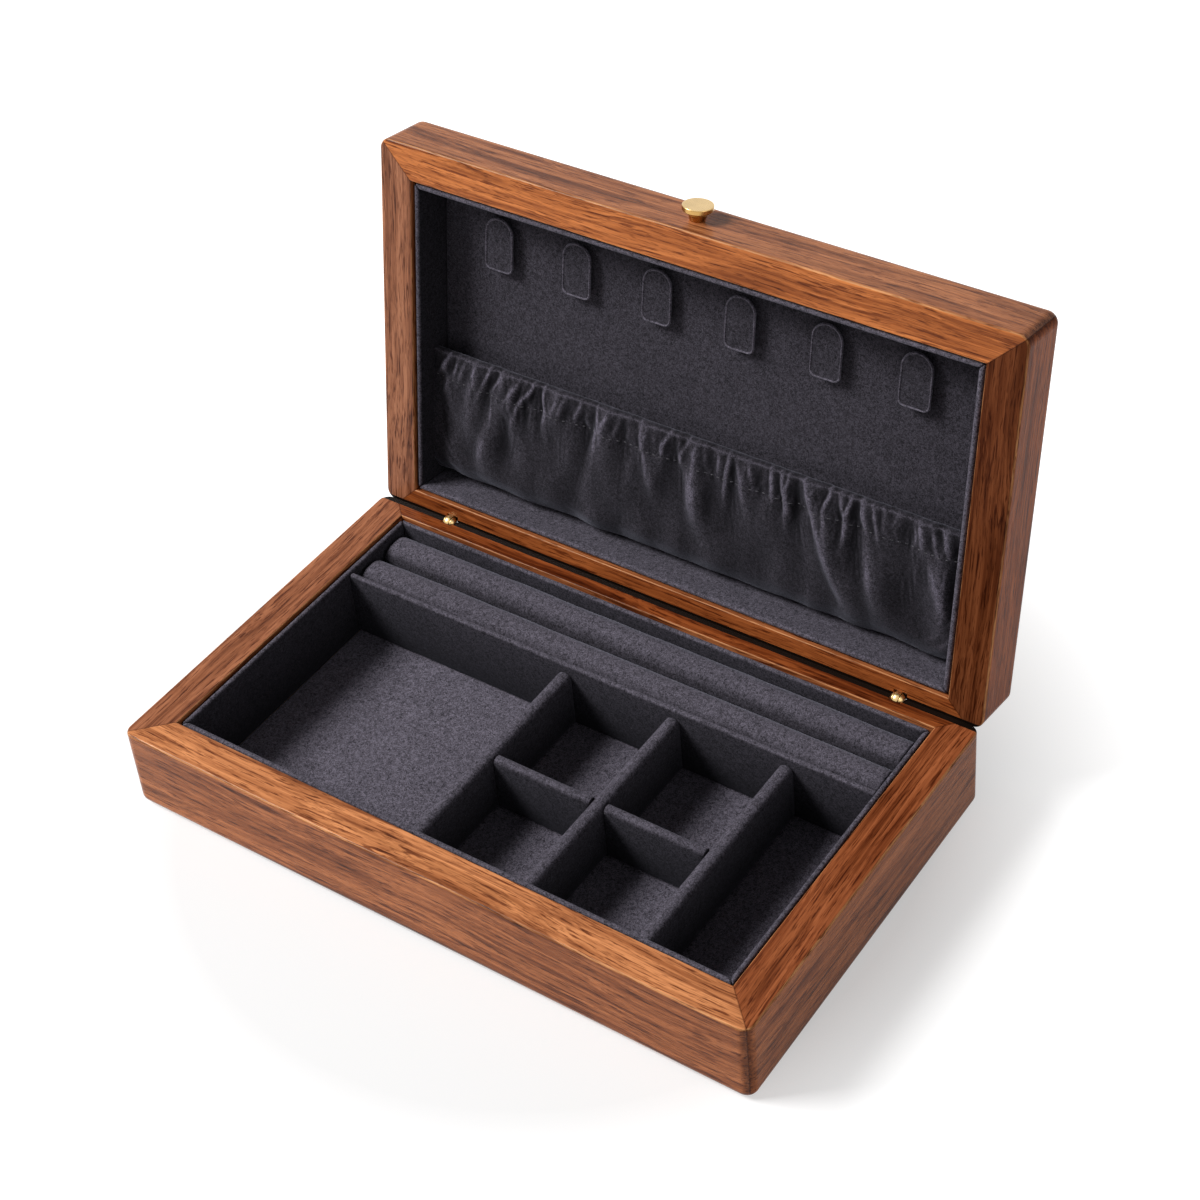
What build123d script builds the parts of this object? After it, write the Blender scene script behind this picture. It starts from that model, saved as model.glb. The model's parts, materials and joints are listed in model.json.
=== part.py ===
from build123d import *
import math
import os

# Display box for cufflinks and rings, drawn closed and then opened about its hinge line.
# X runs along the width, +Y towards the hinges, +Z up. The origin is the centre of the underside.
# All sizes are in millimetres.

# ---------------------------------------------------------------- overall sizes
width = 280.0
depth = 164.0
base_height = 37.0
lid_height = 25.5
open_angle = 100.0
closed_gap = 0.4

# ---------------------------------------------------------------- walnut frames
front_rail = 15.0
side_rail = 15.0
back_rail = 8.5
foot_gap = 0.4
corner_round = 4.6
base_bottom_round = 3.5
lid_top_round = 4.0
rim_round = 1.0
relief_width = 3.0
relief_depth = 0.7
inner_edge_round = 0.6
rebate_width = 4.0
spline_thick = 2.0
spline_margin = 6.0

# ---------------------------------------------------------------- panels and linings
baize_thick = 0.8
baize_edge_gap = 0.5
bottom_panel_thick = 3.0
panel_edge_gap = 0.2
floor_pad_thick = 1.2
liner_thick = 2.5
liner_gap = 0.7
liner_drop = 0.8
lid_panel_thick = 4.0
backing_thick = 4.0

# ---------------------------------------------------------------- tray dividers
long_divider_thick = 2.8
roll_channel = 33.4
divider_thick = 6.2
cell_width = 43.7
right_slot = 33.7
cross_thick = 4.6
front_cell = 45.6
long_divider_drop = 1.6
divider_drop = 5.2
cross_drop = 5.8
roll_drop = 3.2
roll_clearance = 0.15

# ---------------------------------------------------------------- chain tabs
tab_count = 6
tab_pitch = 37.0
tab_width = 13.0
tab_height = 23.0
tab_thick = 1.4
tab_stand_off = 2.3
tab_foot_round = 2.6
tab_top_margin = 8.8
spacer_width = 8.0
spacer_height = 9.0
spacer_rise = 1.5

# ---------------------------------------------------------------- gathered pouch
pouch_skin = 1.5
pouch_hem_height = 64.5
pouch_hem_clear = 7.0
pouch_belly_clear = 9.5
pouch_foot = 3.0
elastic_width = 5.0
elastic_thick = 0.6

# ---------------------------------------------------------------- brass fittings
hinge_spread = 211.0
knuckle_radius = 2.95
knuckle_end_flat = 1.2
knuckle_middle = 2.2
knuckle_gap = 0.1
knuckle_end_round = 0.3
knuckle_groove_round = 0.3
hinge_inset = 0.9
hinge_drop = 1.7
leaf_thick = 1.4
leaf_reach = 8.0
notch_clearance = 0.25
pin_radius = 0.8
pin_clearance = 0.05
knob_rim_distance = 10.8
knob_head_radius = 6.0
knob_neck_radius = 3.3
knob_foot_radius = 2.95
knob_foot_flare = 0.7
knob_foot_height = 2.6
knob_groove = 0.3
knob_cone_lip = 0.45
knob_cone_height = 1.0
knob_height = 6.2
knob_edge_round = 0.45
stud_radius = 1.5
stud_length = 9.0

# ---------------------------------------------------------------- derived positions
half_width = width / 2
half_depth = depth / 2
lid_rim = base_height + closed_gap
lid_top = lid_rim + lid_height
hinge_y = half_depth - hinge_inset
hinge_z = lid_rim - hinge_drop

inner_x = half_width - side_rail
inner_front = front_rail - half_depth
inner_back = half_depth - back_rail

liner_set = liner_gap + liner_thick
room_x = inner_x - liner_set
room_front = inner_front + liner_set
room_back = inner_back - liner_set

panel_bottom = baize_thick
panel_top = panel_bottom + bottom_panel_thick
floor_top = panel_top + floor_pad_thick
base_liner_top = base_height - liner_drop

long_back = room_back - roll_channel
long_front = long_back - long_divider_thick
right_divider_x = room_x - right_slot - divider_thick / 2
middle_divider_x = right_divider_x - cell_width - divider_thick
left_divider_x = middle_divider_x - cell_width - divider_thick
cross_y = room_front + front_cell + cross_thick / 2

lid_panel_low = lid_top - lid_panel_thick
backing_face = lid_panel_low - backing_thick
lid_liner_low = lid_rim + liner_drop

hinge_line = Axis((0, hinge_y, hinge_z), (1, 0, 0))
hinge_xs = {"left": -hinge_spread / 2, "right": hinge_spread / 2}


# ---------------------------------------------------------------- small helpers
def block(low, high):
    """Box between two corners."""
    size = [b - a for a, b in zip(low, high)]
    middle = [(a + b) / 2 for a, b in zip(low, high)]
    return Pos(*middle) * Box(*size)


def plate(points, low, high):
    """Flat-sided solid with the given outline in XY, between two heights."""
    outline = make_face(Polyline(*points, close=True))
    return extrude(Pos(0, 0, low) * outline, amount=high - low)


def edges_at(shape, axis, height):
    """Edges that lie flat at one position along an axis."""
    return shape.edges().filter_by_position(axis, height - 0.01, height + 0.01)


def opened(shape):
    """Lid piece turned from closed to open."""
    return shape.rotate(hinge_line, -open_angle)


def save(shape, node):
    """Write one node."""
    export_step(shape, "parts/" + node + ".step")


# ---------------------------------------------------------------- frames
def frame_blank(low, high, round_low, round_high):
    """Outer box of a mitred frame with its edges rounded, before the middle is cut out."""
    blank = block((-half_width, -half_depth, low), (half_width, half_depth, high))
    blank = fillet(blank.edges().filter_by(Axis.Z), corner_round)
    blank = fillet(edges_at(blank, Axis.Z, low), round_low)
    return fillet(edges_at(blank, Axis.Z, high), round_high)


def inner_prism(low, high, grow=0.0):
    """The opening inside the rails, grown on all four sides."""
    return block(
        (-inner_x - grow, inner_front - grow, low),
        (inner_x + grow, inner_back + grow, high),
    )


def base_blank():
    """Base frame in one piece: rounded outside, open middle, rebate below for the bottom panel.

    A shallow relief along the top back edge gives the lid's edge room as it swings.
    """
    blank = frame_blank(foot_gap, base_height, base_bottom_round, rim_round)
    blank = blank - inner_prism(0, base_height + 1)
    rim_edges = edges_at(blank, Axis.Z, base_height).filter_by(GeomType.LINE)
    blank = fillet(inside_opening(rim_edges), inner_edge_round)
    relief = block(
        (-half_width - 1, half_depth - relief_width, base_height - relief_depth),
        (half_width + 1, half_depth + 1, base_height + 1),
    )
    return blank - relief - inner_prism(-1, panel_top, rebate_width)


def lid_blank():
    """Lid frame in one piece, closed: rim below, rebate above for the lid panel."""
    blank = frame_blank(lid_rim, lid_top, rim_round, lid_top_round)
    blank = blank - inner_prism(lid_rim - 1, lid_top + 1)
    rim_edges = edges_at(blank, Axis.Z, lid_rim).filter_by(GeomType.LINE)
    blank = fillet(inside_opening(rim_edges), inner_edge_round)
    return blank - inner_prism(lid_panel_low, lid_top + 1, rebate_width)


def inside_opening(edges):
    """Of the rim edges, the four round the opening."""
    reach = 0.05
    return [
        edge
        for edge in edges
        if abs(edge.center().X) < inner_x + reach
        and inner_front - reach < edge.center().Y < inner_back + reach
    ]


def mitre_outlines():
    """Plan outline of each rail. The narrow back rail's 45 degree mitres end short of the corners."""
    far = 20.0
    back_x = inner_x + back_rail
    front_left = (-half_width, -half_depth)
    front_right = (half_width, -half_depth)
    in_fl = (-inner_x, inner_front)
    in_fr = (inner_x, inner_front)
    in_bl = (-inner_x, inner_back)
    in_br = (inner_x, inner_back)
    out_bl = (-back_x, half_depth)
    out_br = (back_x, half_depth)
    return {
        "front": [in_fl, in_fr, front_right, (half_width, -half_depth - far),
                  (-half_width, -half_depth - far), front_left],
        "back": [in_bl, out_bl, (-back_x, half_depth + far), (back_x, half_depth + far), out_br, in_br],
        "left": [in_fl, front_left, (-half_width - far, -half_depth), (-half_width - far, half_depth),
                 out_bl, in_bl],
        "right": [in_fr, in_br, out_br, (half_width + far, half_depth), (half_width + far, -half_depth),
                  front_right],
    }


def spline_blocks(low, high):
    """Four hidden plates, one across each mitre."""
    front_mid = (inner_x + side_rail / 2, inner_front - front_rail / 2)
    back_mid = (inner_x + back_rail / 2, inner_back + back_rail / 2)
    front_turn = math.degrees(math.atan2(side_rail, front_rail))
    front_long = front_rail * 0.55
    back_long = back_rail * 0.75
    tall = high - low
    plates = []
    for side in (-1, 1):
        front = Pos(side * front_mid[0], front_mid[1], low) * Rot(0, 0, side * front_turn)
        back = Pos(side * back_mid[0], back_mid[1], low) * Rot(0, 0, -side * 45)
        align = (Align.CENTER, Align.CENTER, Align.MIN)
        plates.append(front * Box(front_long, spline_thick, tall, align=align))
        plates.append(back * Box(back_long, spline_thick, tall, align=align))
    return plates


def split_rails(blank, low, high, splines):
    """The four rails of a frame, each slotted for the splines."""
    rails = {}
    for side, outline in mitre_outlines().items():
        rail = blank & plate(outline, low - 1, high + 1)
        for spline in splines:
            rail = rail - spline
        rails[side] = rail
    return rails


# ---------------------------------------------------------------- linings
def liner_outlines():
    """Plan outlines of the four liner boards, mitred at the corners."""
    out_x = inner_x - liner_gap
    out_front = inner_front + liner_gap
    out_back = inner_back - liner_gap
    return {
        "front": [(-out_x, out_front), (out_x, out_front), (room_x, room_front), (-room_x, room_front)],
        "back": [(-out_x, out_back), (-room_x, room_back), (room_x, room_back), (out_x, out_back)],
        "left": [(-out_x, out_front), (-room_x, room_front), (-room_x, room_back), (-out_x, out_back)],
        "right": [(out_x, out_front), (out_x, out_back), (room_x, room_back), (room_x, room_front)],
    }


def liner_ring(low, high, rim):
    """All four liner boards as one ring with its rim edges rounded."""
    out_x = inner_x - liner_gap
    out_front = inner_front + liner_gap
    out_back = inner_back - liner_gap
    ring = block((-out_x, out_front, low), (out_x, out_back, high))
    ring = ring - block((-room_x, room_front, low - 1), (room_x, room_back, high + 1))
    return fillet(edges_at(ring, Axis.Z, rim), liner_thick * 0.44)


def split_liners(ring, low, high):
    """The four liner boards."""
    return {side: ring & plate(outline, low - 1, high + 1) for side, outline in liner_outlines().items()}


# ---------------------------------------------------------------- tray
def rounded_board(low, high, across, rounding):
    """Upright board with its two long top edges rounded. across is the axis of its thickness."""
    board = block(low, high)
    along = Axis.Y if across == Axis.X else Axis.X
    top_edges = edges_at(board, Axis.Z, high[2]).filter_by(along)
    return fillet(top_edges, rounding)


def tray_dividers():
    """Long divider, three front-to-back dividers and two cross dividers."""
    nodes = {}
    long_top = base_height - long_divider_drop
    nodes["long_divider"] = rounded_board(
        (-room_x, long_front, floor_top), (room_x, long_back, long_top), Axis.Y, long_divider_thick * 0.45
    )
    places = {"left": left_divider_x, "middle": middle_divider_x, "right": right_divider_x}
    for name, x in places.items():
        nodes["divider_" + name] = rounded_board(
            (x - divider_thick / 2, room_front, floor_top),
            (x + divider_thick / 2, long_front, base_height - divider_drop),
            Axis.X, divider_thick * 0.45,
        )
    spans = {"left": (left_divider_x, middle_divider_x), "right": (middle_divider_x, right_divider_x)}
    for name, (start, end) in spans.items():
        nodes["cross_divider_" + name] = rounded_board(
            (start + divider_thick / 2, cross_y - cross_thick / 2, floor_top),
            (end - divider_thick / 2, cross_y + cross_thick / 2, base_height - cross_drop),
            Axis.Y, cross_thick * 0.45,
        )
    return nodes


def ring_rolls():
    """Two upright padded rolls, side by side behind the long divider."""
    roll = (room_back - long_back) / 2
    nodes = {}
    for name, start in (("front", long_back), ("rear", long_back + roll)):
        nodes["ring_roll_" + name] = rounded_board(
            (-room_x, start + roll_clearance, floor_top),
            (room_x, start + roll - roll_clearance, base_height - roll_drop),
            Axis.Y, roll * 0.42,
        )
    return nodes


# ---------------------------------------------------------------- lid contents
def lid_y(reach):
    """Closed Y of a point that lies a given reach from the hinge side of the lid opening."""
    return inner_back - reach


def chain_tabs():
    """Arch-topped tabs, closed position, and the blocks that hold them off the backing."""
    tabs = {}
    spacers = []
    top_y = room_front + tab_top_margin
    foot_y = top_y + tab_height
    face = backing_face - tab_stand_off - tab_thick
    half = tab_width / 2
    for index in range(tab_count):
        x = (index - (tab_count - 1) / 2) * tab_pitch
        tab = block((x - half, top_y, face), (x + half, foot_y, face + tab_thick))
        uprights = tab.edges().filter_by(Axis.Z)
        tab = fillet(uprights.group_by(Axis.Y)[0], half * 0.98)
        tab = fillet(tab.edges().filter_by(Axis.Z).group_by(Axis.Y)[-1], tab_foot_round)
        tabs["chain_tab_%d" % (index + 1)] = tab
        spacers.append(block(
            (x - spacer_width / 2, foot_y - spacer_rise - spacer_height, face + tab_thick),
            (x + spacer_width / 2, foot_y - spacer_rise, backing_face),
        ))
    return tabs, spacers


def pouch_sheet():
    """Pouch skin: rises from the backing near the hinge side, bellies out and ends at the hem."""
    foot = lid_y(liner_set + pouch_foot)
    hem = lid_y(pouch_hem_height)
    span = foot - hem
    inner = [
        (foot, backing_face),
        (foot - span * 0.10, backing_face - pouch_belly_clear * 0.62),
        (foot - span * 0.34, backing_face - pouch_belly_clear),
        (foot - span * 0.70, backing_face - pouch_belly_clear * 0.86),
        (hem, backing_face - pouch_hem_clear),
    ]
    outer = [
        (foot + pouch_skin, backing_face),
        (foot - span * 0.10 + pouch_skin * 0.45, backing_face - pouch_belly_clear * 0.62 - pouch_skin),
        (foot - span * 0.34, backing_face - pouch_belly_clear - pouch_skin),
        (foot - span * 0.70, backing_face - pouch_belly_clear * 0.86 - pouch_skin),
        (hem, backing_face - pouch_hem_clear - pouch_skin),
    ]
    outline = make_face(Polyline(*[(0, y, z) for y, z in inner + outer[::-1]], close=True))
    return extrude(outline, amount=room_x, dir=(1, 0, 0), both=True)


def pouch_elastic_strip():
    """Flat elastic behind the hem, full width of the pouch."""
    hem = lid_y(pouch_hem_height)
    span = lid_y(liner_set + pouch_foot) - hem
    slope = pouch_belly_clear * 0.86 - pouch_hem_clear
    drop = slope * elastic_width / (span * 0.30)
    low_z = backing_face - pouch_hem_clear
    points = [
        (0, hem, low_z),
        (0, hem + elastic_width, low_z - drop),
        (0, hem + elastic_width, low_z - drop + elastic_thick),
        (0, hem, low_z + elastic_thick),
    ]
    return extrude(make_face(Polyline(*points, close=True)), amount=room_x, dir=(1, 0, 0), both=True)


# ---------------------------------------------------------------- hinges
def barrel(x, start, end, outer):
    """Slice of the ball-shaped hinge barrel, from x + start to x + end.

    outer is -1 or 1 where the left or right end is the end of the whole barrel, and 0 where neither is.
    """
    ball = Pos(x, hinge_y, hinge_z) * Sphere(knuckle_radius, rotation=(0, 90, 0))
    reach = knuckle_radius + 1
    body = ball & block(
        (x + start, hinge_y - reach, hinge_z - reach), (x + end, hinge_y + reach, hinge_z + reach)
    )
    for side, at in ((-1, x + start), (1, x + end)):
        rounding = knuckle_end_round if side == outer else knuckle_groove_round
        body = fillet(edges_at(body, Axis.X, at), rounding)
    return body


def pin_hole(x, radius):
    """Cylinder along the hinge line through one hinge."""
    return Pos(x, hinge_y, hinge_z) * Cylinder(radius, 2 * hinge_half_length() + 2, rotation=(0, 90, 0))


def leaf_blade(x, half, end_z):
    """Flat blade that stands in a kerf in the rail, tangent to the front of the barrel."""
    front = hinge_y - knuckle_radius + 0.1
    return block((x - half, front, min(hinge_z, end_z)), (x + half, front + leaf_thick, max(hinge_z, end_z)))


def hinge_half_length():
    """Half the length of the whole barrel, out to the small flat at each end of the ball."""
    return math.sqrt(knuckle_radius ** 2 - knuckle_end_flat ** 2)


def lower_leaf(x):
    """Lower hinge leaf: blade in the base rail and the two outer knuckles."""
    half = hinge_half_length()
    inner = knuckle_middle / 2 + knuckle_gap
    blade = leaf_blade(x, half, base_height - leaf_reach)
    clear = knuckle_radius + notch_clearance
    cut = Pos(x, hinge_y, hinge_z) * Cylinder(clear, 2 * inner, rotation=(0, 90, 0))
    top = block((x - half, hinge_y - clear, hinge_z), (x + half, hinge_y + clear, lid_top))
    blade = blade - cut - top
    leaf = blade + barrel(x, -half, -inner, -1) + barrel(x, inner, half, 1)
    return leaf - pin_hole(x, pin_radius)


def upper_leaf(x):
    """Upper hinge leaf, closed: blade in the lid rail and the middle knuckle."""
    half = hinge_half_length()
    middle = knuckle_middle / 2
    blade = leaf_blade(x, half, lid_rim + leaf_reach)
    clear = knuckle_radius + notch_clearance
    cuts = []
    for side in (-1, 1):
        centre = x + side * (middle + half + 1) / 2
        cuts.append(Pos(centre, hinge_y, hinge_z) * Cylinder(clear, half + 1 - middle, rotation=(0, 90, 0)))
    low = block((x - half, hinge_y - clear, 0), (x + half, hinge_y + clear, hinge_z))
    leaf = blade - cuts[0] - cuts[1] - low + barrel(x, -middle, middle, 0)
    return leaf - pin_hole(x, pin_radius + pin_clearance)


def hinge_pin(x):
    """Plain pin, as long as the barrel."""
    return Pos(x, hinge_y, hinge_z) * Cylinder(pin_radius, 2 * hinge_half_length(), rotation=(0, 90, 0))


def hinge_notch(x):
    """Round notch that clears the barrel in both rails, and the two kerfs for the blades."""
    half = hinge_half_length()
    clear = knuckle_radius + notch_clearance
    notch = Pos(x, hinge_y, hinge_z) * Cylinder(clear, 2 * (half + notch_clearance), rotation=(0, 90, 0))
    return notch + leaf_blade(x, half, base_height - leaf_reach) + leaf_blade(x, half, lid_rim + leaf_reach)


# ---------------------------------------------------------------- knob
def knob():
    """Turned knob on the lid's front rail, standing out along -Y when closed: foot, cone and flat head."""
    groove_top = knob_foot_height + knob_groove
    cone_top = groove_top + knob_cone_height
    outline = make_face(Polyline(
        (0, 0, 0),
        (knob_foot_radius, 0, 0),
        (knob_foot_radius + knob_foot_flare, 0, knob_foot_height),
        (knob_neck_radius, 0, groove_top),
        (knob_head_radius - knob_cone_lip, 0, cone_top),
        (knob_head_radius, 0, cone_top + knob_cone_lip),
        (knob_head_radius, 0, knob_height),
        (0, 0, knob_height),
        close=True,
    ))
    turned = revolve(outline, axis=Axis.Z)
    turned = fillet(edges_at(turned, Axis.Z, knob_height), knob_edge_round)
    return Pos(0, -half_depth, lid_rim + knob_rim_distance) * Rot(90, 0, 0) * turned


def knob_stud():
    """Threaded stud inside the rail, drawn plain."""
    stud = Cylinder(stud_radius, stud_length, rotation=(90, 0, 0))
    return Pos(0, -half_depth + stud_length / 2, lid_rim + knob_rim_distance) * stud


# ---------------------------------------------------------------- build
def build_base():
    """Every node of the base."""
    nodes = {}
    splines = spline_blocks(foot_gap + spline_margin, base_height - spline_margin)
    rails = split_rails(base_blank(), foot_gap, base_height, splines)
    for x in hinge_xs.values():
        rails["back"] = rails["back"] - hinge_notch(x)
    for side, rail in rails.items():
        nodes["base_%s_rail" % side] = rail
    nodes["base_mitre_splines"] = Compound(children=splines)
    nodes["underside_baize"] = inner_prism(0, baize_thick, rebate_width - baize_edge_gap)
    nodes["base_bottom_panel"] = inner_prism(panel_bottom, panel_top, rebate_width - panel_edge_gap)
    nodes["base_floor_pad"] = block((-room_x, room_front, panel_top), (room_x, room_back, floor_top))
    ring = liner_ring(panel_top, base_liner_top, base_liner_top)
    for side, board in split_liners(ring, panel_top, base_liner_top).items():
        nodes["base_liner_" + side] = board
    nodes.update(tray_dividers())
    nodes.update(ring_rolls())
    for side, x in hinge_xs.items():
        nodes["hinge_lower_leaf_" + side] = lower_leaf(x)
        nodes["hinge_pin_" + side] = hinge_pin(x)
    return nodes


def build_lid():
    """Every node of the lid, in the closed position."""
    nodes = {}
    splines = spline_blocks(lid_rim + spline_margin, lid_top - spline_margin - 1)
    rails = split_rails(lid_blank(), lid_rim, lid_top, splines)
    for x in hinge_xs.values():
        rails["back"] = rails["back"] - hinge_notch(x)
    rails["front"] = rails["front"] - knob_stud()
    for side, rail in rails.items():
        nodes["lid_%s_rail" % side] = rail
    nodes["lid_mitre_splines"] = Compound(children=splines)
    nodes["lid_top_panel"] = inner_prism(lid_panel_low, lid_top, rebate_width - panel_edge_gap)
    nodes["lid_backing_pad"] = block(
        (-room_x, room_front, backing_face), (room_x, room_back, lid_panel_low)
    )
    ring = liner_ring(lid_liner_low, lid_panel_low, lid_liner_low)
    for side, board in split_liners(ring, lid_liner_low, lid_panel_low).items():
        nodes["lid_liner_" + side] = board
    tabs, spacers = chain_tabs()
    nodes.update(tabs)
    nodes["chain_tab_spacers"] = Compound(children=spacers)
    nodes["pouch_cloth"] = pouch_sheet()
    nodes["pouch_elastic"] = pouch_elastic_strip()
    nodes["lid_knob"] = knob()
    nodes["lid_knob_stud"] = knob_stud()
    for side, x in hinge_xs.items():
        nodes["hinge_upper_leaf_" + side] = upper_leaf(x)
    return nodes


os.makedirs("parts", exist_ok=True)
for node, shape in build_base().items():
    save(shape, node)
for node, shape in build_lid().items():
    save(opened(shape), node)
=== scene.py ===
"""Looks of a walnut display box for cufflinks and rings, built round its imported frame.

Lengths are in millimetres until a mesh is made, and in metres from there on.
"""
import json
import logging
import math
import random
from dataclasses import dataclass, field, replace
from enum import Enum
from itertools import product
from typing import Iterable, Sequence

import bpy
from mathutils import Matrix, Vector, noise


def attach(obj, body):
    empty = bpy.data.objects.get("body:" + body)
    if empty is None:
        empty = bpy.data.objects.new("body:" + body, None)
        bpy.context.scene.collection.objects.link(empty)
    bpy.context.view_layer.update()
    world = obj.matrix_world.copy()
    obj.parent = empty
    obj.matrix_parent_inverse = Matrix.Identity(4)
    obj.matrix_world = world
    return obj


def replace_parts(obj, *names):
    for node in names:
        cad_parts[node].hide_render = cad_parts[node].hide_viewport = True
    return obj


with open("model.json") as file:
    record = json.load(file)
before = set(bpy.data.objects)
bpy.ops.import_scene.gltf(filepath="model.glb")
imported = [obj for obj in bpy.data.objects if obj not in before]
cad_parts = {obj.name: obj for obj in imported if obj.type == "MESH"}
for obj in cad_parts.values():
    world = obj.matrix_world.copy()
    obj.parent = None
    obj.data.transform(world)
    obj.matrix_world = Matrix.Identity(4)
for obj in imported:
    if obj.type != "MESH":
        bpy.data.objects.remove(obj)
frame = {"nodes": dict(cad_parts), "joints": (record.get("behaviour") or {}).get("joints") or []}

LOG = logging.getLogger("display_box")
MM = 0.001
Colour = tuple[float, float, float]
Point = tuple[float, float, float]
Socket = bpy.types.NodeSocket
# What goes into a node's input: another node's output, a number or three numbers.
Value = Socket | float | Point
SIDES = ("front", "back", "left", "right")
# Numbers of the Mix node's two colours and of its mixed colour.
MIX_A, MIX_B, MIXED = 6, 7, 2


class Axis(Enum):
    """The two directions in which a liner board runs."""

    X = 0
    Y = 1


# ---------------------------------------------------------------- material nodes
class NodeTable:
    """The node tree of a material or a world, with short calls to add and join nodes."""

    def __init__(
        self, owner: bpy.types.Material | bpy.types.World, shader: str = "Principled BSDF"
    ) -> None:
        """Starts with the owner's own nodes.

        Args:
            owner: the new material or world.
            shader: name of its shader node.
        """
        owner.use_nodes = True
        self.owner = owner
        self.tree = owner.node_tree
        self.shader = self.tree.nodes[shader]
        own = self.add("ShaderNodeTexCoord", {}).outputs
        self.place = own["Object"]
        self.normal = own["Normal"]

    def add(
        self, kind: str, inputs: dict[str | int, Value], **settings: str
    ) -> bpy.types.Node:
        """Adds a node.

        Args:
            kind: Blender's name of the node type.
            inputs: what goes into each input, by its name or number.
            settings: attributes of the node.

        Returns:
            The new node.
        """
        node = self.tree.nodes.new(kind)
        for key, value in settings.items():
            setattr(node, key, value)
        self.fill(node, inputs)
        return node

    def fill(self, node: bpy.types.Node, inputs: dict[str | int, Value]) -> None:
        """Joins sockets to a node's inputs and sets the others to numbers.

        Args:
            node: the node.
            inputs: what goes into each input, by its name or number.
        """
        for key, value in inputs.items():
            socket = node.inputs[key]
            if isinstance(value, Socket):
                self.tree.links.new(value, socket)
            else:
                socket.default_value = (*value, 1.0) if socket.type == "RGBA" else value

    def shade(self, **values: Value) -> None:
        """Fills the shader's inputs, each under its own name with _ for a space."""
        self.fill(self.shader, {key.replace("_", " "): value for key, value in values.items()})

    def mapped(self, vector: Socket, **changes: Point) -> Socket:
        """A place with its Rotation (in radians), Location or Scale changed."""
        return self.add("ShaderNodeMapping", {"Vector": vector, **changes}).outputs["Vector"]

    def turned(self, turn: Point, move: Point = (0.0, 0.0, 0.0)) -> Socket:
        """The piece's own coordinates, turned by degrees about X, Y and Z, and moved."""
        turns = tuple(math.radians(a) for a in turn)
        return self.mapped(self.place, Rotation=turns, Location=move)

    def noise(
        self, vector: Socket, scale: float, detail: float, rough: float = 0.55,
        warp: float = 0.0,
    ) -> Socket:
        """Noise from 0 to 1: cells per metre, octaves, strength of the small ones, distortion."""
        inputs = {"Scale": scale, "Detail": detail, "Roughness": rough, "Distortion": warp}
        return self.add("ShaderNodeTexNoise", {"Vector": vector, **inputs}).outputs["Fac"]

    def ramp(self, value: Socket, stops: Iterable[tuple[float, Colour]]) -> Socket:
        """Turns a value into a colour.

        Args:
            value: what is looked up.
            stops: position and colour of each stop.

        Returns:
            The colour socket.
        """
        node = self.add("ShaderNodeValToRGB", {"Fac": value})
        bar = node.color_ramp.elements
        for number, (at, colour) in enumerate(stops):
            element = bar[number] if number < len(bar) else bar.new(at)
            element.position = at
            element.color = (*colour, 1.0)
        return node.outputs["Color"]

    def levels(
        self, value: Socket, low: float, high: float, to_low: float, to_high: float
    ) -> Socket:
        """Stretches a value from the range low to high to to_low to to_high, held there."""
        ends = {"From Min": low, "From Max": high, "To Min": to_low, "To Max": to_high}
        return self.add("ShaderNodeMapRange", {"Value": value, **ends}).outputs["Result"]

    def maths(self, operation: str, a: Socket, b: Socket | float = 0.0) -> Socket:
        """Joins two values by one of Blender's operations."""
        return self.add("ShaderNodeMath", {0: a, 1: b}, operation=operation).outputs["Value"]

    def mixed(self, blend: str, amount: Socket | float, a: Value, b: Value) -> Socket:
        """Mixes an amount of colour b into colour a by one of Blender's blends."""
        inputs = {"Factor": amount, MIX_A: a, MIX_B: b}
        return self.add("ShaderNodeMix", inputs, data_type="RGBA", blend_type=blend).outputs[MIXED]

    def along(self, vector: Socket, way: Point) -> Socket:
        """How far a place in metres, or a direction, reaches along a way of length 1."""
        inputs = {0: vector, 1: way}
        return self.add("ShaderNodeVectorMath", inputs, operation="DOT_PRODUCT").outputs["Value"]

    def facing(self, way: Point, low: float, high: float) -> Socket:
        """How far the surface faces one way: 0 at the cosine low, 1 at the cosine high."""
        return self.levels(self.along(self.normal, way), low, high, 0.0, 1.0)

    def bump(self, height: Socket, strength: float, depth: float) -> None:
        """Gives the surface relief: its height from 0 to 1, the share used, its depth in metres."""
        inputs = {"Strength": strength, "Distance": depth, "Height": height}
        self.shade(Normal=self.add("ShaderNodeBump", inputs).outputs["Normal"])

    def seen_directly(self) -> Socket:
        """1 for rays from the camera, a mirror or glass.

        Returns:
            The value socket.
        """
        path = self.add("ShaderNodeLightPath", {}).outputs
        total = path["Is Camera Ray"]
        for kind in ("Glossy", "Transmission"):
            total = self.maths("ADD", total, path[f"Is {kind} Ray"])
        return self.maths("MINIMUM", total, 1.0)


@dataclass(frozen=True)
class Mitres:
    """Where a frame's rim faces, its mitred joints lie and its painted black shadow at the hinged
    edge starts.
    """

    rim: Point
    along: Point
    front: float
    back: float
    gap_shade_band: float


@dataclass(frozen=True)
class Grain:
    """One layer of wood grain: its cells per metre along and across, and its octaves."""

    along: float
    across: float
    detail: float = 3.0
    rough: float = 0.6

    def read(self, t: NodeTable, board: Socket) -> Socket:
        """The layer's strength at each place in the board, whose X runs along the grain."""
        cells = t.mapped(board, Scale=(self.along, self.across, self.across))
        return t.noise(cells, 1.0, self.detail, self.rough)


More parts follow.
